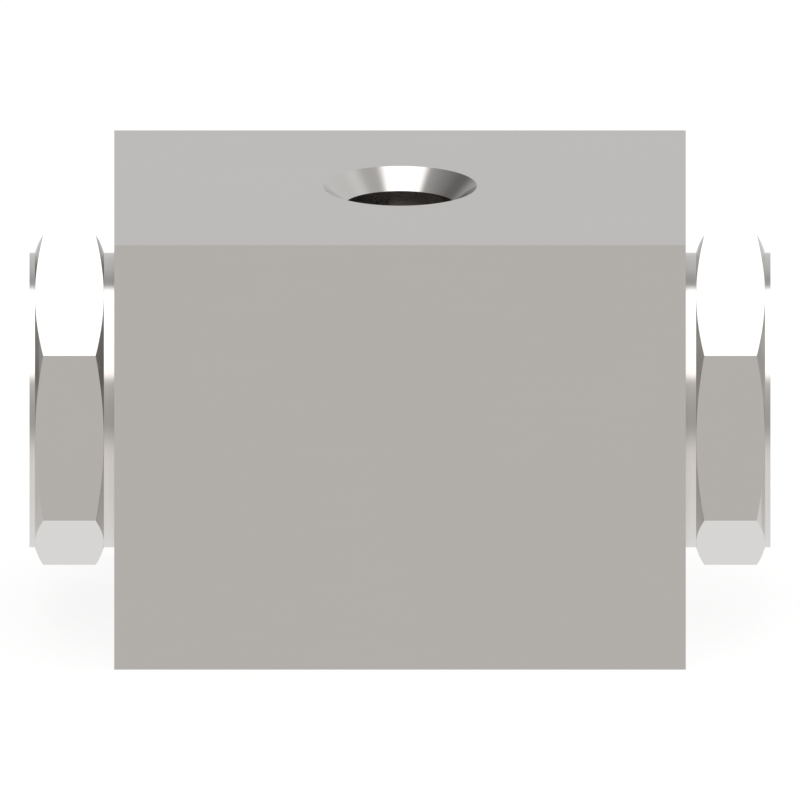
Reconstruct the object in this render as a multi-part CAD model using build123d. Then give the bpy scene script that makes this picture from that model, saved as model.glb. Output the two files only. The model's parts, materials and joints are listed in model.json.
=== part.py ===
from build123d import *
from math import radians, sqrt, tan
import os

# A shuttle valve. A square steel block has the outlet port on top, and a hexagon adaptor with
# an inlet port is screwed into each end. Inside, a shuttle slides in a ported cage between two
# seat rings. The inlet at the higher pressure pushes it onto the far seat, so that only this
# inlet reaches the outlet.
#
# Sizes are in millimetres. +X runs along the inlets' shared axis to the right inlet, +Z is up,
# out of the outlet, and the front is -Y. The origin is the middle of the block's underside.

# Block
block_width = 58.0
block_depth = 45.0
block_height = 44.6
bore_step = 1.5
bore_mouth_chamfer = 0.8
gallery_depth = 2.0
gallery_width = 7.0
outlet_setback = 0.75
outlet_port_depth = 10.5
outlet_passage_diameter = 6.5

# Ports, G 1/4, the same in the block and in both adaptors
port_core_diameter = 11.445
countersink_diameter = 15.6
countersink_angle = 90.0
drill_point_angle = 118.0

# Adaptors
across_flats = 30.0
hexagon_length = 7.0
hexagon_chamfer_angle = 19.5
collar_step = 0.05
inner_collar_length = 1.05
outer_collar_length = 0.55
inlet_port_depth = 13.0
flow_bore_diameter = 8.6
adaptor_thread_chamfer = 0.8
undercut_depth = 1.1
undercut_length = 1.6
gland_land = 0.9
gland_depth = 2.1
spigot_chamfer = 0.3

# Seals of the adaptors: a squeezed O-ring and, on its low-pressure side, a backup ring
adaptor_seal_width = 2.7
backup_ring_width = 1.0

# Seat rings
seat_thickness = 3.0
seat_lip_height = 0.6
seat_lip_width = 0.8
seat_lip_flank = 0.4
seat_gland_wall = 1.1
seat_gland_width = 2.3
seat_outer_wall = 1.75
seat_gland_depth = 1.35
seat_seal_width = 1.9

# Cage
cage_wall = 2.5
cage_port_diameter = 4.0
cage_port_count = 6
cage_gland_land = 1.5
cage_gland_width = 2.4
cage_gland_depth = 1.35
cage_seal_width = 1.9

# Shuttle
shuttle_travel = 8.4
piston_width = 4.4
piston_gland_width = 2.0
piston_gland_depth = 2.0
piston_ring_thickness = 0.95
disc_overlap = 0.4
disc_thickness = 1.8
disc_backing = 1.0
stud_diameter = 3.5
stud_hold = 1.5
cap_length = 3.0
cap_gap = 0.9
cap_cone_length = 1.2
cap_tip_step = 1.3
cap_slot_width = 0.8
cap_slot_depth = 0.9

# Clearances, each on one side
slide_clearance = 0.05
thread_clearance = 0.05
thread_end_gap = 0.5
seal_clearance = 0.02
ring_clearance = 0.03
stud_clearance = 0.03
seating_gap = 0.05

# How round a squeezed seal's corners are: the radius, and its largest share of width or height
seal_corner = 0.7
seal_corner_share = 0.45

# How far a cutting solid reaches past what it cuts
overcut = 1.0

# Radii that follow from the sizes above. The flow bore is the innermost, and what lies round it
# makes the main bore 19 mm and the adaptors' thread 22 mm across.
flow_radius = flow_bore_diameter / 2
seat_gland_inner_radius = flow_radius + seat_gland_wall
seat_gland_outer_radius = seat_gland_inner_radius + seat_gland_width
slide_radius = seat_gland_outer_radius + seat_outer_wall
main_bore_radius = slide_radius + slide_clearance
thread_radius = main_bore_radius + bore_step
gland_radius = main_bore_radius - gland_depth
collar_radius = across_flats / 2 - collar_step

lip_radius = flow_radius + seat_lip_width
disc_radius = lip_radius + disc_overlap
cap_radius = flow_radius - cap_gap
stud_radius = stud_diameter / 2
stud_hole_radius = stud_radius + stud_clearance

cage_bore_radius = slide_radius - cage_wall
cage_gland_radius = slide_radius - cage_gland_depth
piston_radius = cage_bore_radius - slide_clearance
piston_gland_radius = piston_radius - piston_gland_depth
ring_outer_radius = cage_bore_radius - ring_clearance
ring_inner_radius = ring_outer_radius - piston_ring_thickness

port_radius = port_core_diameter / 2
countersink_radius = countersink_diameter / 2
countersink_depth = (countersink_radius - port_radius) / tan(radians(countersink_angle / 2))
drill_slope = tan(radians(drill_point_angle / 2))

# Places that follow, counted outward from the middle: the shuttle, then what it stops against,
# and so on out to the adaptors' thread, which fills what the block leaves for it.
axis_height = block_height / 2
piston_half = piston_width / 2
backing_face = piston_half + disc_backing
disc_face = backing_face + disc_thickness
stud_end = disc_face + stud_hold
cap_end = disc_face + cap_length
lip_face = disc_face + shuttle_travel / 2 + seating_gap
seat_inner = lip_face + seat_lip_height
spigot_end = seat_inner + seat_thickness
seat_gland_bottom = spigot_end - seat_gland_depth
gland_inner = spigot_end + gland_land
gland_width = adaptor_seal_width + backup_ring_width + 3 * seal_clearance
gland_outer = gland_inner + gland_width
thread_end = gland_outer + gland_land
bore_shoulder = thread_end - thread_end_gap
cage_gland_start = gallery_width / 2 + cage_gland_land
cage_gland_end = cage_gland_start + cage_gland_width

collar_face = block_width / 2
undercut_end = collar_face - undercut_length
hexagon_start = collar_face + inner_collar_length
hexagon_end = hexagon_start + hexagon_length
adaptor_end = hexagon_end + outer_collar_length
inlet_bottom = adaptor_end - inlet_port_depth
outlet_bottom = block_height - outlet_port_depth
shuttle_rest = -shuttle_travel / 2


def turned(*outline):
    """A solid turned about the inlets' axis, from the (place, radius) corners of its section."""
    section = Plane.XZ * make_face(Polyline(*outline, close=True))
    return Pos(0, 0, axis_height) * revolve(section, Axis.X)


def plain_ring(start, end, inner_radius, outer_radius):
    """A ring of rectangular section about the inlets' axis."""
    return turned(
        (start, inner_radius),
        (start, outer_radius),
        (end, outer_radius),
        (end, inner_radius),
    )


def squeezed_seal(start, end, inner_radius, outer_radius):
    """An O-ring as its gland squeezes it: a rectangular section with large round corners."""
    width = end - start
    height = outer_radius - inner_radius
    corner = min(seal_corner, seal_corner_share * width, seal_corner_share * height)
    middle = Pos((start + end) / 2, (inner_radius + outer_radius) / 2)
    section = Plane.XZ * (middle * RectangleRounded(width, height, corner))
    return Pos(0, 0, axis_height) * revolve(section, Axis.X)


def port_hole(mouth, bottom, inner_end, passage_radius):
    """The half section of a port: countersink, thread core, drill point and passage."""
    point_end = bottom - (port_radius - passage_radius) / drill_slope
    return [
        (mouth, 0),
        (mouth, countersink_radius),
        (mouth - countersink_depth, port_radius),
        (bottom, port_radius),
        (point_end, passage_radius),
        (inner_end, passage_radius),
        (inner_end, 0),
    ]


def make_block():
    """The block: main bore with its gallery and threaded ends, and the outlet port above."""
    block = Pos(0, 0, axis_height) * Box(block_width, block_depth, block_height)
    thread_bore_radius = thread_radius + thread_clearance
    half_gallery = gallery_width / 2
    right_bore = turned(
        (0, 0),
        (0, main_bore_radius + gallery_depth),
        (half_gallery, main_bore_radius + gallery_depth),
        (half_gallery, main_bore_radius),
        (bore_shoulder, main_bore_radius),
        (bore_shoulder, thread_bore_radius),
        (collar_face - bore_mouth_chamfer, thread_bore_radius),
        (collar_face, thread_bore_radius + bore_mouth_chamfer),
        (collar_face, 0),
    )
    block = block - right_bore - mirror(right_bore, Plane.YZ)
    outlet = port_hole(block_height, outlet_bottom, axis_height, outlet_passage_diameter / 2)
    section = make_face(Polyline(*[(radius, z) for z, radius in outlet], close=True))
    return block - Pos(0, outlet_setback, 0) * revolve(Plane.XZ * section, Axis.Z)


def make_adaptor():
    """The right adaptor: hexagon between two collars, thread, sealed spigot and inlet port."""
    body = turned(
        (spigot_end, 0),
        (spigot_end, slide_radius - spigot_chamfer),
        (spigot_end + spigot_chamfer, slide_radius),
        (gland_inner, slide_radius),
        (gland_inner, gland_radius),
        (gland_outer, gland_radius),
        (gland_outer, slide_radius),
        (thread_end, slide_radius),
        (thread_end, thread_radius - adaptor_thread_chamfer),
        (thread_end + adaptor_thread_chamfer, thread_radius),
        (undercut_end, thread_radius),
        (undercut_end, thread_radius - undercut_depth),
        (collar_face, thread_radius - undercut_depth),
        (collar_face, collar_radius),
        (adaptor_end, collar_radius),
        (adaptor_end, 0),
    )
    # Its corners point up and down, so that one flat faces the front.
    flats = RegularPolygon(across_flats / 2, 6, major_radius=False, rotation=90)
    hexagon = extrude(Plane.YZ * flats, hexagon_length)
    hexagon = Pos(hexagon_start, 0, axis_height) * hexagon
    reach = across_flats / sqrt(3) + overcut
    chamfer_run = (reach - collar_radius) * tan(radians(hexagon_chamfer_angle))
    hexagon = hexagon & turned(
        (hexagon_start, 0),
        (hexagon_start, collar_radius),
        (hexagon_start + chamfer_run, reach),
        (hexagon_end - chamfer_run, reach),
        (hexagon_end, collar_radius),
        (hexagon_end, 0),
    )
    return body + hexagon - turned(*port_hole(adaptor_end, inlet_bottom, spigot_end, flow_radius))


def make_adaptor_seal():
    """The O-ring in the adaptor's gland, on the side of the valve's chamber."""
    start = gland_inner + seal_clearance
    end = start + adaptor_seal_width
    return squeezed_seal(start, end, gland_radius + seal_clearance, main_bore_radius - seal_clearance)


def make_backup_ring():
    """The plain ring behind the O-ring, which keeps it out of the clearance."""
    end = gland_outer - seal_clearance
    start = end - backup_ring_width
    return plain_ring(start, end, gland_radius + seal_clearance, main_bore_radius - seal_clearance)


def make_seat_ring():
    """The seat ring between cage and adaptor: a raised lip inside, an O-ring groove outside."""
    return turned(
        (lip_face, flow_radius),
        (lip_face, lip_radius),
        (seat_inner, lip_radius + seat_lip_flank),
        (seat_inner, slide_radius),
        (spigot_end, slide_radius),
        (spigot_end, seat_gland_outer_radius),
        (seat_gland_bottom, seat_gland_outer_radius),
        (seat_gland_bottom, seat_gland_inner_radius),
        (spigot_end, seat_gland_inner_radius),
        (spigot_end, flow_radius),
    )


def make_seat_seal():
    """The O-ring that seals the seat ring to the adaptor's end."""
    outer_radius = seat_gland_outer_radius - seal_clearance
    return squeezed_seal(
        seat_gland_bottom + seal_clearance,
        spigot_end - seal_clearance,
        outer_radius - seat_seal_width,
        outer_radius,
    )


def make_cage():
    """The sleeve that guides the shuttle, with a row of ports opening into the gallery."""
    cage = plain_ring(-seat_inner, seat_inner, cage_bore_radius, slide_radius)
    gland = plain_ring(cage_gland_start, cage_gland_end, cage_gland_radius, main_bore_radius)
    cage = cage - gland - mirror(gland, Plane.YZ)
    drill = extrude(Circle(cage_port_diameter / 2), main_bore_radius)
    for number in range(cage_port_count):
        turn = 360 / cage_port_count * number
        cage = cage - Pos(0, 0, axis_height) * (Rot(turn, 0, 0) * drill)
    return cage


def make_cage_seal():
    """The O-ring on the cage, to the right of the gallery."""
    middle = (cage_gland_start + cage_gland_end) / 2
    return squeezed_seal(
        middle - cage_seal_width / 2,
        middle + cage_seal_width / 2,
        cage_gland_radius + seal_clearance,
        main_bore_radius - seal_clearance,
    )


def make_shuttle_core():
    """The shuttle's core: the grooved piston, a backing flange each side, and a stud each end."""
    half = [
        (piston_gland_width / 2, piston_gland_radius),
        (piston_gland_width / 2, piston_radius),
        (piston_half, piston_radius),
        (piston_half, disc_radius),
        (backing_face, disc_radius),
        (backing_face, stud_radius),
        (stud_end, stud_radius),
        (stud_end, 0),
    ]
    return turned(*[(-place, radius) for place, radius in reversed(half)], *half)


def make_piston_energiser():
    """The O-ring under the piston ring, which presses it out."""
    half = piston_gland_width / 2 - seal_clearance
    inner_radius = piston_gland_radius + seal_clearance
    return squeezed_seal(-half, half, inner_radius, ring_inner_radius - seal_clearance)


def make_piston_ring():
    """The slippery ring that runs in the cage's bore."""
    half = piston_gland_width / 2 - seal_clearance
    return plain_ring(-half, half, ring_inner_radius, ring_outer_radius)


def make_seal_disc():
    """The soft disc on the shuttle's right end, which closes on the seat ring's lip."""
    return plain_ring(backing_face, disc_face, stud_hole_radius, disc_radius)


def make_disc_cap():
    """The slotted cap screwed on the right stud, which clamps the disc and enters the seat."""
    cap = turned(
        (disc_face, stud_hole_radius),
        (disc_face, cap_radius),
        (cap_end - cap_cone_length, cap_radius),
        (cap_end, cap_radius - cap_tip_step),
        (cap_end, 0),
        (stud_end + stud_clearance, 0),
        (stud_end + stud_clearance, stud_hole_radius),
    )
    slot = Box(2 * cap_slot_depth, 2 * cap_radius, cap_slot_width)
    return cap - Pos(cap_end, 0, axis_height) * slot


def save(node, piece):
    export_step(piece, f"parts/{node}.step")


def save_pair(name, right_piece, place=0.0):
    """Saves a piece of the right side and its mirror image, both moved along the axis by place."""
    save(f"right_{name}", Pos(place, 0, 0) * right_piece)
    save(f"left_{name}", Pos(place, 0, 0) * mirror(right_piece, Plane.YZ))


os.makedirs("parts", exist_ok=True)

save("valve_block", make_block())
save_pair("end_adaptor", make_adaptor())
save_pair("adaptor_o_ring", make_adaptor_seal())
save_pair("backup_ring", make_backup_ring())
save_pair("seat_ring", make_seat_ring())
save_pair("seat_o_ring", make_seat_seal())
save("shuttle_cage", make_cage())
save_pair("cage_o_ring", make_cage_seal())

save("shuttle_core", Pos(shuttle_rest, 0, 0) * make_shuttle_core())
save("piston_energiser", Pos(shuttle_rest, 0, 0) * make_piston_energiser())
save("piston_ring", Pos(shuttle_rest, 0, 0) * make_piston_ring())
save_pair("seal_disc", make_seal_disc(), shuttle_rest)
save_pair("disc_cap", make_disc_cap(), shuttle_rest)

print("main bore", round(2 * main_bore_radius, 4), "adaptor thread", round(2 * thread_radius, 4))
print("adaptor thread length", round(undercut_end - thread_end, 4))
print("inlet mouth", round(adaptor_end, 4), "inlet bottom", round(inlet_bottom, 4))
print("outlet bottom", round(outlet_bottom, 4), "countersink depth", round(countersink_depth, 4))
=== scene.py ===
import bmesh
import bpy
import json
import numpy as np
from math import cos, pi, radians, sin, tan
from mathutils import Matrix, Vector


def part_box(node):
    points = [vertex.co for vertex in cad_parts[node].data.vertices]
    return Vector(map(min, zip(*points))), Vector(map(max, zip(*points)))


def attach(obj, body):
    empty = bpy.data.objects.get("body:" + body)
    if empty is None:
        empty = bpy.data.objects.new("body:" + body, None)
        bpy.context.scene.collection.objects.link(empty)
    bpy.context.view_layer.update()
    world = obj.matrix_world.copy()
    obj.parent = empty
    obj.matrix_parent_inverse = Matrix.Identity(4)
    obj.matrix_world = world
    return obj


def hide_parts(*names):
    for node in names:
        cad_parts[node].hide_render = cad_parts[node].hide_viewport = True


# A shuttle valve: a polished steel block with the outlet port on top, and a hexagon adaptor with
# an inlet port screwed into each end. Sizes are in millimetres in the CAD's own frame: +X along
# the inlets' axis, +Z up, the front towards -Y, and the origin in the middle of the underside.
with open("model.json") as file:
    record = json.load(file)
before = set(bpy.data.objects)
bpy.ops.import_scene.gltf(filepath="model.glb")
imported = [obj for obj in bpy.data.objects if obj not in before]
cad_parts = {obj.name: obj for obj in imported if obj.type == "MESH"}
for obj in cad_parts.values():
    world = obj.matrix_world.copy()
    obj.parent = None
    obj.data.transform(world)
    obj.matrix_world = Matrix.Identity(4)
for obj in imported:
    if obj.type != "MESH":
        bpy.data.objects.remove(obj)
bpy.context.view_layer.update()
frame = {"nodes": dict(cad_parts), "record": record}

# Valve block. One piece of square steel bar, ground and polished on all sides. It is bored
# through for the adaptors, with a gallery in the middle, and the outlet port is drilled and
# tapped from above.
MM = 0.001
MICRON = MM * MM
COLUMNS = 120
AROUND = np.linspace(0, 1, COLUMNS + 1)
CUT_OVER = 1.0
SHARP_ANGLE = radians(35)
block_low, block_high = [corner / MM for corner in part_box("valve_block")]
block_end = block_high.x
block_top = block_high.z
axis_height = block_top / 2


def port(name, axis):
    """A port's core radius and where its core starts and ends along an axis, from its mount."""
    mount = next(mount for mount in frame["record"]["mounts"] if mount["name"] == name)
    middle = mount["pos_m"][axis] / MM
    half = mount["dims"]["length_mm"] / 2
    return mount["dims"]["r_mm"], middle - half, middle + half


# The three ports are alike: drilled, countersunk and tapped with a 1/4 inch pipe thread.
PORT_PITCH = 1.337
PORT_THREAD_DEPTH = 0.856
DRILL_SLOPE = tan(radians(59))
THREAD_RUN_OUT = 1.4
PLAIN_RING = 0.2
OUTLET_SETBACK = 0.75
OUTLET_PASSAGE_RADIUS = 3.25
OUTLET_PLAIN_LENGTH = 2.2
port_radius, outlet_bottom, cone_bottom = port("outlet_port", 2)
tapped_radius = port_radius + PORT_THREAD_DEPTH
countersink_radius = port_radius + block_top - cone_bottom

# The main bore widens at each end for the adaptors' bodies, which have a fine metric thread.
MAIN_BORE_RADIUS = 9.5
GALLERY_RADIUS = 11.5
GALLERY_HALF = 3.5
BORE_SHOULDER_DEPTH = 11.09
BORE_THREAD_RADIUS = 11.05
BORE_THREAD_DEPTH = 0.81
BORE_MOUTH_CHAMFER = 0.8
BODY_PITCH = 1.5
BODY_THREAD_GAP = 0.5
bore_shoulder = block_end - BORE_SHOULDER_DEPTH
body_thread_start = bore_shoulder + BODY_THREAD_GAP

# The share of a pitch and the height there, from 0 at the root to 1 at the crest. The port's
# thread is rounded at crest and root, and the block's has flats at both.
PORT_THREAD = [(0, 1), (0.071, 0.97), (0.122, 0.885), (0.378, 0.115), (0.429, 0.03)]
PORT_THREAD += [(0.5, 0), (0.571, 0.03), (0.622, 0.115), (0.878, 0.885), (0.929, 0.97)]
BORE_THREAD = [(0.0625, 1), (0.3743, 0), (0.6257, 0), (0.9375, 1)]


def plain(*corners):
    """Rows of a turned surface, from the (place, radius) corners of its outline."""
    return [(place + 0 * AROUND, radius + 0 * AROUND) for place, radius in corners]


def thread(start, end, pitch, profile, radius):
    """Rows along a thread's helix, cut off at its ends. The radius comes from place and height."""
    shares, heights = zip(*profile)
    places = [start + 0 * AROUND]
    for turn in range(-1, int((end - start) / pitch) + 1):
        places += [start + (turn + share + AROUND) * pitch for share in shares]
    places.append(end + 0 * AROUND)
    rows = []
    for place in np.clip(places, start, end):
        height = np.interp((place - start) / pitch - AROUND, shares, heights, period=1)
        rows.append((place, radius(place, height)))
    return rows


def port_thread(bottom, end, faded, mouth):
    """Rows of a port's thread. It fades out above a plain ring at the bottom and where faded
    says, or is cut open by the countersink at the mouth."""

    def radius(place, height):
        from_end = np.minimum(place - bottom - PLAIN_RING, faded - place)
        depth = np.clip(from_end / THREAD_RUN_OUT, 0, 1)
        tapped = port_radius + PORT_THREAD_DEPTH * (1 - height) * depth
        return np.maximum(tapped, countersink_radius - (mouth - place))

    return thread(bottom, end, PORT_PITCH, PORT_THREAD, radius)


def turned(name, rows, place=Matrix()):
    """An object with a surface turned about the X axis, row by row, and then put in its place."""
    places, radii = np.array(rows).transpose(1, 0, 2)
    turns = 2 * pi * AROUND
    points = np.stack([places, radii * np.cos(turns), radii * np.sin(turns)], -1)
    corners = np.arange(len(rows) * len(AROUND)).reshape(len(rows), -1)
    quads = np.stack([corners[:-1, :-1], corners[:-1, 1:], corners[1:, 1:], corners[1:, :-1]], -1)
    mesh = bpy.data.meshes.new(name)
    mesh.from_pydata(points.reshape(-1, 3).tolist(), [], quads.reshape(-1, 4).tolist())
    mesh.transform(Matrix.Scale(MM, 4) @ place)
    close_up(mesh)
    return add(name, mesh)


def close_up(mesh):
    """Joins the corners that lie within a micron, and turns the faces outwards."""
    joined = bmesh.new()
    joined.from_mesh(mesh)
    bmesh.ops.remove_doubles(joined, verts=joined.verts, dist=MICRON)
    bmesh.ops.recalc_face_normals(joined, faces=joined.faces)
    joined.to_mesh(mesh)
    joined.free()


def add(name, mesh):
    """A new object with this mesh, in the scene."""
    piece = bpy.data.objects.new(name, mesh)
    bpy.context.scene.collection.objects.link(piece)
    return piece


def crisp(piece):
    """Smooth shading that keeps the edges where the surface turns by more than the sharp angle."""
    piece.data.shade_smooth()
    piece.data.set_sharp_from_angle(angle=SHARP_ANGLE)


def cut(piece, cutter):
    """Cuts the cutter's shape out of the piece and removes the cutter."""
    boolean = piece.modifiers.new("cut", "BOOLEAN")
    boolean.solver = "EXACT"
    boolean.object = cutter
    shapes = bpy.context.evaluated_depsgraph_get()
    piece.data = bpy.data.meshes.new_from_object(piece.evaluated_get(shapes))
    close_up(piece.data)
    piece.modifiers.clear()
    bpy.data.objects.remove(cutter)


ON_AXIS = Matrix.Translation((0, 0, axis_height))
LEFT_SIDE = ON_AXIS @ Matrix.Rotation(pi, 4, "Z")
UPRIGHT = Matrix(((0, 1, 0, 0), (0, 0, 1, OUTLET_SETBACK), (1, 0, 0, 0), (0, 0, 0, 1)))

bar = bmesh.new()
bar_size = Matrix.Diagonal((*(block_high - block_low), 1))
bmesh.ops.create_cube(bar, matrix=Matrix.Scale(MM, 4) @ ON_AXIS @ bar_size)
block_mesh = bpy.data.meshes.new("block")
bar.to_mesh(block_mesh)
bar.free()
block = add("block", block_mesh)

mouth = block_end - BORE_MOUTH_CHAMFER
mouth_radius = BORE_THREAD_RADIUS + BORE_MOUTH_CHAMFER


def bore_radius(place, height):
    """The tapped bore's radius, which the chamfer of its mouth widens."""
    tapped = BORE_THREAD_RADIUS - BORE_THREAD_DEPTH * (1 - height)
    return np.maximum(tapped, mouth_radius - (block_end - place))


gallery = plain(
    (-GALLERY_HALF, 0),
    (-GALLERY_HALF, GALLERY_RADIUS),
    (GALLERY_HALF, GALLERY_RADIUS),
    (GALLERY_HALF, MAIN_BORE_RADIUS),
)
bore = plain(
    (bore_shoulder, MAIN_BORE_RADIUS),
    (bore_shoulder, BORE_THREAD_RADIUS),
    (body_thread_start, BORE_THREAD_RADIUS),
)
bore += thread(body_thread_start, mouth, BODY_PITCH, BORE_THREAD, bore_radius)
bore += plain((block_end + CUT_OVER, mouth_radius + CUT_OVER), (block_end + CUT_OVER, 0))
cut(block, turned("right_bore", gallery + bore, ON_AXIS))
cut(block, turned("left_bore", plain((0, 0), (0, MAIN_BORE_RADIUS)) + bore, LEFT_SIDE))

thread_top = cone_bottom - OUTLET_PLAIN_LENGTH
point_end = outlet_bottom - (port_radius - OUTLET_PASSAGE_RADIUS) / DRILL_SLOPE
outlet = plain(
    (axis_height, 0),
    (axis_height, OUTLET_PASSAGE_RADIUS),
    (point_end, OUTLET_PASSAGE_RADIUS),
    (outlet_bottom, port_radius),
)
outlet += port_thread(outlet_bottom, thread_top, thread_top, block_top)
outlet += plain(
    (cone_bottom, port_radius),
    (block_top + CUT_OVER, countersink_radius + CUT_OVER),
    (block_top + CUT_OVER, 0),
)
cut(block, turned("outlet", outlet, UPRIGHT))
crisp(block)


class Wire:
    """A socket of a node tree. Sums written with it add their own Math nodes."""

    def __init__(self, tree, socket=None):
        self.tree = tree
        self.socket = socket

    def node(self, kind, settings=None, sockets=None, output=0):
        """Adds a node: its settings first, then the values or links of its sockets."""
        made = self.tree.nodes.new("ShaderNode" + kind)
        for name, value in (settings or {}).items():
            if name == "stops":
                for number, (place, tone) in enumerate(value):
                    if number > 1:
                        made.color_ramp.elements.new(1.0)
                    made.color_ramp.elements[number].position = place
                    made.color_ramp.elements[number].color = (tone, tone, tone, 1)
            else:
                setattr(made, name, value)
        for name, value in (sockets or {}).items():
            if isinstance(value, Wire):
                self.tree.links.new(value.socket, made.inputs[name])
            else:
                made.inputs[name].default_value = value
        return Wire(self.tree, made.outputs[output])

    def maths(self, operation, first, second=0.0):
        return self.node("Math", {"operation": operation}, {0: first, 1: second})

    def __add__(self, other):
        return self.maths("ADD", self, other)

    def __sub__(self, other):
        return self.maths("SUBTRACT", self, other)

    def __rsub__(self, other):
        return self.maths("SUBTRACT", other, self)

    def __mul__(self, other):
        return self.maths("MULTIPLY", self, other)

    def __truediv__(self, other):
        return self.maths("DIVIDE", self, other)

    def __abs__(self):
        return self.maths("ABSOLUTE", self)

    __radd__ = __add__
    __rmul__ = __mul__

    def step(self, start, end):
        """0 where this is at start, 1 where it is at end, and a smooth change between them."""
        sockets = {"Value": self, "From Min": start, "From Max": end}
        return self.node("MapRange", {"interpolation_type": "SMOOTHSTEP"}, sockets)

    def colour(self, first, second):
        """The first colour where this is 0, the second where it is 1, and mixes between them."""
        if not isinstance(first, Wire):
            first = (*first, 1)
        return self.node("Mix", {"data_type": "RGBA"}, {0: self, 6: first, 7: (*second, 1)}, 2)

    def through(self, stops, lowest, highest):
        """The tone that the stops give at this number, which runs from lowest to highest."""
        stops = [((place - lowest) / (highest - lowest), tone) for place, tone in stops]
        share = (self - lowest) / (highest - lowest)
        return self.node("ValToRGB", {"stops": stops}, {0: share})

    def parts(self):
        """The three numbers of this vector."""
        separate = self.node("SeparateXYZ", sockets={0: self})
        return [Wire(self.tree, output) for output in separate.socket.node.outputs]

    def grain(self, per_mm, detail=3.0):
        """Noise from 0 to 1 at this place, with so many grains to a millimetre each way."""
        stretched = self.node("VectorMath", {"operation": "MULTIPLY"}, {0: self, 1: per_mm})
        return self.node("TexNoise", {}, {"Vector": stretched, "Scale": 1.0, "Detail": detail})

    def feed(self, name):
        """Links this to a socket of the material's shader."""
        self.tree.links.new(self.socket, self.tree.nodes["Principled BSDF"].inputs[name])


def start_material(name, **constants):
    """A new material with these constants on its shader, and the surface's place in mm."""
    material = bpy.data.materials.new(name)
    material.use_nodes = True
    for socket, value in constants.items():
        socket = socket.replace("_", " ")
        material.node_tree.nodes["Principled BSDF"].inputs[socket].default_value = value
    place = Wire(material.node_tree).node("TexCoord", output=3)
    return material, place.node("VectorMath", {"operation": "SCALE"}, {0: place, "Scale": 1 / MM})


def raise_surface(height, microns):
    """Bump from a height of 0 to 1, which stands for so many microns."""
    sockets = {"Height": height, "Strength": 1.0, "Distance": microns * MICRON}
    height.node("Bump", sockets=sockets).feed("Normal")


def away_from(across, upright):
    """How far a place is from an axis, from its two distances across it."""
    return across.maths("SQRT", across * across + upright * upright)


# The bar is ground along its length, and its two ends across it, in fine strokes under faint
# clouds. Inside the outlet the steel is rougher, and its colour is painted darker there as
# shade in the hollow.
STEEL_LIGHT = (0.712, 0.700, 0.685)
STEEL_DARK = (0.688, 0.679, 0.665)
BORE_PAINTED_SHADE = (0.33, 0.312, 0.297)
STROKES_ALONG = (0.12, 7.0, 7.0)
STROKES_ACROSS = (7.0, 0.12, 7.0)
CLOUDS = (0.06, 0.06, 0.06)
SHADE_EDGE = 0.15
CONE_EDGE = 0.01
OUTLET_SHADE_FROM = 5.0

ground_steel, here = start_material("ground_steel", Metallic=1.0)
x, y, z = here.parts()
facing = here.node("NewGeometry", output=1).parts()
on_end = abs(facing[0]).step(0.6, 0.7)
strokes = here.grain(STROKES_ALONG) * (1 - on_end) + here.grain(STROKES_ACROSS) * on_end
dull = strokes * 0.6 + here.grain(CLOUDS, 2.0) * 0.4
from_outlet = away_from(x, y - OUTLET_SETBACK)
in_outlet = from_outlet.step(tapped_radius + SHADE_EDGE, tapped_radius + SHADE_EDGE / 2)
in_outlet = in_outlet * z.step(cone_bottom + CONE_EDGE, cone_bottom)
in_outlet = in_outlet * (z - axis_height).step(OUTLET_SHADE_FROM, OUTLET_SHADE_FROM + 1)
steel = dull.colour(STEEL_LIGHT, STEEL_DARK)
# Painted shade: the outlet's walls are coloured darker, as shade in the hollow.
in_outlet.colour(steel, BORE_PAINTED_SHADE).feed("Base Color")
(0.13 + 0.06 * dull + 0.12 * in_outlet).feed("Roughness")
raise_surface(strokes, 0.4)
block.data.materials.clear()
block.data.materials.append(ground_steel)
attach(block, "valve")
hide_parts("valve_block")


# Cage. A hardened steel sleeve, turned and then ground outside and honed inside, with a row of
# drilled ports. It guides the shuttle, and an O-ring each side of the gallery holds it.
def turning_marks(here, per_mm=6.0):
    """Fine rings, as a lathe leaves them on every surface round the inlets' axis."""
    x, y, z = here.parts()
    from_axis = away_from(y, z - axis_height)
    return here.node("CombineXYZ", sockets={0: x, 1: from_axis}).grain((per_mm, per_mm, 1.0))


def dress(material, *nodes):
    """Gives this material to CAD nodes whose shape stays."""
    for node in nodes:
        slots = frame["nodes"][node].data.materials
        slots.clear()
        slots.append(material)


honed_steel, here = start_material("honed_steel", Metallic=1.0)
marks = turning_marks(here)
stains = here.grain((0.5, 0.5, 0.5), 4.0)
(marks * 0.6 + stains * 0.4).colour((0.69, 0.68, 0.67), (0.62, 0.61, 0.60)).feed("Base Color")
(0.20 + 0.10 * marks).feed("Roughness")
raise_surface(marks, 0.9)
dress(honed_steel, "shuttle_cage")

# All the O-rings are moulded in black rubber, slightly oiled, with the matt skin and the odd
# flow mark that a mould leaves.
black_rubber, here = start_material("black_rubber", Coat_Weight=0.15, Coat_Roughness=0.25)
skin = here.grain((9.0, 9.0, 9.0), 5.0)
flow = here.grain((0.7, 0.7, 0.7), 2.0)
flow.colour((0.022, 0.022, 0.024), (0.038, 0.038, 0.040)).feed("Base Color")
(0.42 + 0.2 * skin).feed("Roughness")
raise_surface(skin, 3.0)
dress(black_rubber, "left_cage_o_ring", "right_cage_o_ring")

# Shuttle. A ground steel core with a filled plastic ring round its piston, pressed out by an
# O-ring. Each end has a brown rubber disc, clamped by a slotted steel cap on a threaded stud.
dress(honed_steel, "shuttle_core", "left_disc_cap", "right_disc_cap")
dress(black_rubber, "piston_energiser")

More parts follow.
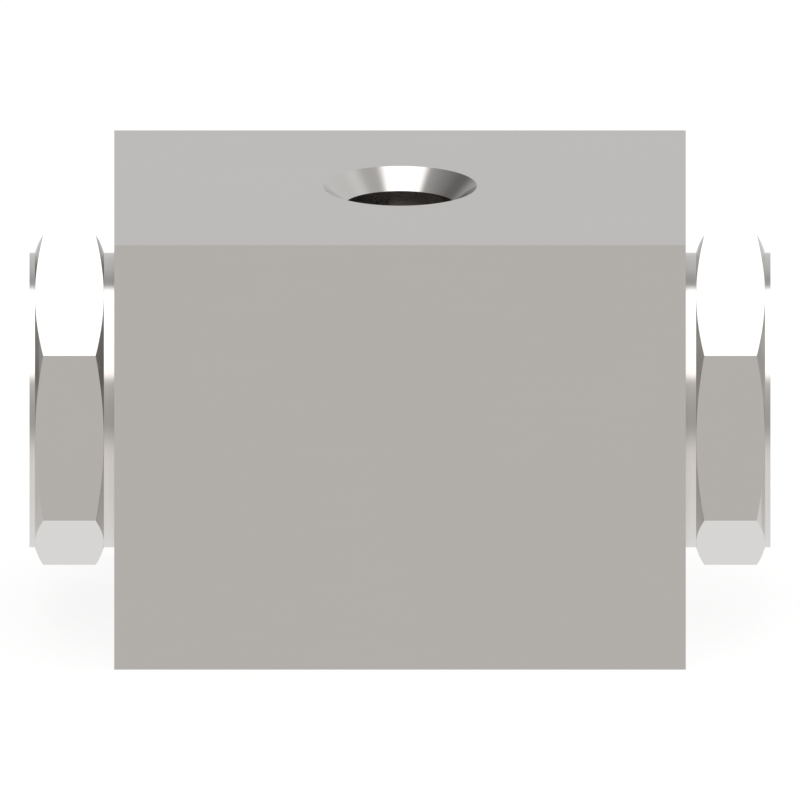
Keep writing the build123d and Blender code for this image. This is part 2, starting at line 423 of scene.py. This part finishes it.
filled_plastic, here = start_material("bronze_filled_plastic")
marks = turning_marks(here, 4.0)
flakes = here.grain((11.0, 11.0, 11.0), 1.0).step(0.58, 0.66)
flakes.colour((0.22, 0.145, 0.085), (0.48, 0.30, 0.14)).feed("Base Color")
(0.46 - 0.14 * flakes + 0.1 * marks).feed("Roughness")
(0.7 * flakes).feed("Metallic")
raise_surface(marks, 2.0)
dress(filled_plastic, "piston_ring")

brown_rubber, here = start_material("brown_rubber")
marks = turning_marks(here, 3.0)
skin = here.grain((5.0, 5.0, 5.0), 4.0)
skin.colour((0.185, 0.066, 0.036), (0.130, 0.044, 0.024)).feed("Base Color")
(0.36 + 0.16 * marks).feed("Roughness")
raise_surface(marks * 0.6 + skin * 0.4, 5.0)
dress(brown_rubber, "left_seal_disc", "right_seal_disc")

# Seat rings. Each is turned from a tan high-temperature plastic, with a raised lip for the disc
# and a groove for the O-ring that seals it to the adaptor.
seat_plastic, here = start_material("seat_plastic", Subsurface_Weight=0.08, Subsurface_Scale=0.001)
marks = turning_marks(here, 5.0)
clouds = here.grain((0.8, 0.8, 0.8), 3.0)
clouds.colour((0.62, 0.515, 0.375), (0.54, 0.445, 0.325)).feed("Base Color")
(0.34 + 0.14 * marks).feed("Roughness")
raise_surface(marks, 2.0)
dress(seat_plastic, "left_seat_ring", "right_seat_ring")
dress(black_rubber, "left_seat_o_ring", "right_seat_o_ring")

# End adaptors. Each is turned from hexagon bar: a hexagon between two collars, a threaded body,
# a sealed spigot that holds the seat ring, and the inlet port.
SPIGOT_RADIUS = 9.45
SPIGOT_CHAMFER = 0.3
GLAND_LAND = 0.9
GLAND_RADIUS = 7.4
BODY_RADIUS = 11.0
BODY_THREAD_DEPTH = 0.92
BODY_CHAMFER = 0.8
UNDERCUT_LENGTH = 1.6
UNDERCUT_RADIUS = 9.9
INNER_COLLAR_LENGTH = 1.05
OUTER_COLLAR_LENGTH = 0.55
ACROSS_FLATS = 30.0
COLLAR_STEP = 0.05
HEXAGON_CHAMFER_SLOPE = tan(radians(19.5))
FLOW_RADIUS = 4.3
adaptor_low, adaptor_high = [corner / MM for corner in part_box("right_end_adaptor")]
spigot_end = adaptor_low.x
adaptor_end = adaptor_high.x
gland_start = spigot_end + GLAND_LAND
gland_end = body_thread_start - GLAND_LAND
undercut_start = block_end - UNDERCUT_LENGTH
hexagon_start = block_end + INNER_COLLAR_LENGTH
hexagon_end = adaptor_end - OUTER_COLLAR_LENGTH
collar_radius = ACROSS_FLATS / 2 - COLLAR_STEP
inlet_bottom = port("right_inlet_port", 0)[1]
inlet_point = inlet_bottom - (port_radius - FLOW_RADIUS) / DRILL_SLOPE
BODY_THREAD = [(0.0625, 1), (0.375, 0.118), (0.428, 0.032), (0.5, 0)]
BODY_THREAD += [(0.572, 0.032), (0.625, 0.118), (0.9375, 1)]


def body_radius(place, height):
    """The adaptor's thread, which the chamfer at its start cuts down."""
    full = BODY_RADIUS - BODY_THREAD_DEPTH * (1 - height)
    return np.minimum(full, BODY_RADIUS - BODY_CHAMFER + place - body_thread_start)


turns_from_flat = ((AROUND * 6 + 0.5) % 1 - 0.5) / 6
hexagon_radius = ACROSS_FLATS / 2 / np.cos(turns_from_flat * 2 * pi)
chamfer = (hexagon_radius - collar_radius) * HEXAGON_CHAMFER_SLOPE

rows = plain(
    (spigot_end, FLOW_RADIUS),
    (spigot_end, SPIGOT_RADIUS - SPIGOT_CHAMFER),
    (spigot_end + SPIGOT_CHAMFER, SPIGOT_RADIUS),
    (gland_start, SPIGOT_RADIUS),
    (gland_start, GLAND_RADIUS),
    (gland_end, GLAND_RADIUS),
    (gland_end, SPIGOT_RADIUS),
    (body_thread_start, SPIGOT_RADIUS),
)
rows += thread(body_thread_start, undercut_start, BODY_PITCH, BODY_THREAD, body_radius)
rows += plain((undercut_start, UNDERCUT_RADIUS), (block_end, UNDERCUT_RADIUS))
rows += plain((block_end, collar_radius), (hexagon_start, collar_radius))
rows += [(hexagon_start + chamfer, hexagon_radius), (hexagon_end - chamfer, hexagon_radius)]
rows += plain((hexagon_end, collar_radius), (adaptor_end, collar_radius))
never = adaptor_end + THREAD_RUN_OUT
rows += port_thread(inlet_bottom, adaptor_end, never, adaptor_end)[::-1]
rows += plain((inlet_point, FLOW_RADIUS), (spigot_end, FLOW_RADIUS))

# The flats keep the bar's grinding strokes, and all the rest has a lathe's fine rings.
turned_steel, here = start_material("turned_steel", Metallic=1.0)
x, y, z = here.parts()
from_axis = away_from(y, z - axis_height)
facing = here.node("NewGeometry", output=1).parts()
beyond_collar = (from_axis - collar_radius).step(COLLAR_STEP * 0.4, COLLAR_STEP * 0.8)
on_flat = beyond_collar * abs(facing[0]).step(0.3, 0.2)
marks = here.grain(STROKES_ALONG) * on_flat + turning_marks(here) * (1 - on_flat)
dull = marks * 0.7 + here.grain((0.08, 0.08, 0.08), 2.0) * 0.3
# Painted shade: inside the inlet port the colour is painted part way to the darker bore shade, as
# shade in the hollow.
in_port = from_axis.step(tapped_radius + SHADE_EDGE, tapped_radius)
in_port = in_port * abs(x).step(spigot_end, inlet_bottom)
steel = dull.colour(STEEL_LIGHT, STEEL_DARK)
(0.6 * in_port).colour(steel, BORE_PAINTED_SHADE).feed("Base Color")
(0.13 + 0.06 * dull + 0.08 * in_port).feed("Roughness")
raise_surface(marks, 0.4)
for side, place in (("right", ON_AXIS), ("left", LEFT_SIDE)):
    adaptor = turned(side + "_adaptor", rows, place)
    crisp(adaptor)
    adaptor.data.materials.append(turned_steel)
    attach(adaptor, "valve")
    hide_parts(side + "_end_adaptor")

# Behind each adaptor's O-ring sits a white plastic ring, turned square, which keeps the O-ring
# out of the clearance.
dress(black_rubber, "left_adaptor_o_ring", "right_adaptor_o_ring")
white_plastic, here = start_material("white_plastic", Subsurface_Weight=0.15, Subsurface_Scale=0.001)
marks = turning_marks(here, 5.0)
marks.colour((0.87, 0.87, 0.84), (0.82, 0.82, 0.79)).feed("Base Color")
(0.38 + 0.12 * marks).feed("Roughness")
raise_surface(marks, 3.0)
dress(white_plastic, "left_backup_ring", "right_backup_ring")

# Studio. A wide pale floor of paper and a white backdrop stand round the valve. The floor's glow
# is painted lighter where it is seen at a low angle, as a painted sheen, and is light grey from
# above. The valve's light comes from the walls, which are darker to the left, and from a big soft
# lamp overhead.
FLOOR_HALF = 2.0
WALL_HEIGHT = 3.0
FROM_ABOVE = (0.80, 0.80, 0.80)
WHITE = (1, 1, 1)
PAPER = {"Base_Color": (0.2, 0.2, 0.2, 1), "Roughness": 1.0, "Specular_IOR_Level": 0.0}
PAPER["Emission_Strength"] = 0.87


def stand(name, corners, faces, paper):
    """A sheet of paper round the valve, which its steel doesn't mirror."""
    sheet = add(name, bpy.data.meshes.new(name))
    sheet.data.from_pydata(corners, [], faces)
    sheet.data.materials.append(paper)
    sheet.visible_glossy = False
    return sheet


square = [Vector((x, y, 0)) * FLOOR_HALF for x, y in ((-1, -1), (1, -1), (1, 1), (-1, 1))]
satin_paper, here = start_material("satin_paper", **PAPER)
# Painted sheen: the floor's glow is white at a low angle and light grey from straight above.
painted_sheen = here.node("LayerWeight", output=1)
painted_sheen.step(0.0, 0.72).colour(FROM_ABOVE, WHITE).feed("Emission Color")
(1 - here.node("NewGeometry", output=6)).feed("Alpha")
stand("floor", square, [(0, 1, 2, 3)], satin_paper)

white_paper, here = start_material("white_paper", Emission_Color=(*WHITE, 1), **PAPER)
above = [corner + Vector((0, 0, WALL_HEIGHT)) for corner in square]
below = [corner - Vector((0, 0, WALL_HEIGHT)) for corner in square]
sides = [(n, (n + 1) % 4, (n + 1) % 4 + 4, n + 4) for n in range(4)]
backdrop = stand("backdrop", below + above, sides, white_paper)
backdrop.visible_diffuse = False
backdrop.visible_shadow = False

# How strong the light is along the middle, by the angle from straight ahead over the top to
# behind, or below that where it is less than 0, and to the sides, by the height from -1 to 1.
MIDDLE = [(-180, 0.68), (-135, 0.90), (-109, 0.94), (-80, 0.925), (-38, 0.90), (-25, 0.84)]
MIDDLE += [(-15, 0.637), (-5, 0.47), (10, 0.49), (24, 0.60), (36, 0.66), (112, 0.39), (124, 0.40)]
MIDDLE += [(139, 0.60), (158, 0.655), (180, 0.68)]
LEFT = [(-1, 0.85), (-0.46, 0.88), (-0.40, 0.68), (-0.33, 0.60), (-0.28, 0.66), (-0.15, 0.33)]
LEFT += [(0.14, 0.42), (0.26, 0.37), (0.36, 0.245), (0.44, 0.165), (0.57, 0.155), (0.66, 0.21)]
LEFT += [(0.77, 0.28), (0.85, 0.36)]
RIGHT = [(-1, 0.85), (-0.45, 0.84), (-0.35, 0.77), (-0.28, 0.73), (-0.15, 0.38), (0.1, 0.58)]
RIGHT += [(0.2, 0.7), (0.62, 0.70), (0.70, 0.77), (0.76, 0.78), (0.84, 0.52), (0.9, 0.50)]
LAMP = 1.7
studio = bpy.data.worlds.new("studio")
bpy.context.scene.world = studio
studio.use_nodes = True
direction = Wire(studio.node_tree).node("TexCoord", output=0)
x, y, z = direction.parts()
turn = x.maths("ARCTAN2", z, -1 * y) * (180 / pi)
middle = turn.through(MIDDLE, -180, 180)
left = z.through(LEFT, -1, 1)
right = z.through(RIGHT, -1, 1)
to_left = x.step(-0.05, -0.35)
to_right = x.step(0.10, 0.40)

# High up in front, the left wall is brighter and the right one a little darker.
in_front = y.step(-0.2, -0.5) * z.step(0.2, 0.5)
left = left * (1 + 0.6 * in_front)
right = right * (1 - 0.15 * in_front)
walls = middle * (1 - to_left) * (1 - to_right) + left * to_left + right * to_right

# The lamp's soft edges: in front and behind by the angle, and left and right by the slant.
slant = x / z
lamp = turn.step(29, 36) * turn.step(117, 111)
lamp = lamp * slant.step(-0.535, -0.395) * slant.step(0.40, 0.24)
warmth = y.step(0.2, -0.9).colour((1, 0.99, 0.985), (1, 0.965, 0.94))
light = {0: warmth, "Scale": walls * (1 - lamp) + LAMP * lamp}
light = x.node("VectorMath", {"operation": "SCALE"}, light)
studio.node_tree.links.new(light.socket, studio.node_tree.nodes["Background"].inputs["Color"])

# Camera. It looks from the front and a little from above, without perspective, as the
# photograph does. The hexagon's width across flats gives the photograph's scale.
CAMERA_DISTANCE = 0.5
CAMERA_ELEVATION = radians(15)
PHOTO_WIDTH_PIXELS = 800
ACROSS_FLATS_PIXELS = 295.6
camera_data = bpy.data.cameras.new("camera")
camera = add("camera", camera_data)
bpy.context.scene.camera = camera
camera_data.type = "ORTHO"
camera_data.ortho_scale = PHOTO_WIDTH_PIXELS / ACROSS_FLATS_PIXELS * ACROSS_FLATS * MM
camera_data.clip_start = 0.01
camera_data.clip_end = 10
back = Vector((0, -cos(CAMERA_ELEVATION), sin(CAMERA_ELEVATION)))
camera.location = Vector((0, 0, axis_height * MM)) + back * CAMERA_DISTANCE
camera.rotation_mode = "QUATERNION"
camera.rotation_quaternion = (-back).to_track_quat("-Z", "Y")

bpy.context.scene.view_settings.view_transform = "Standard"
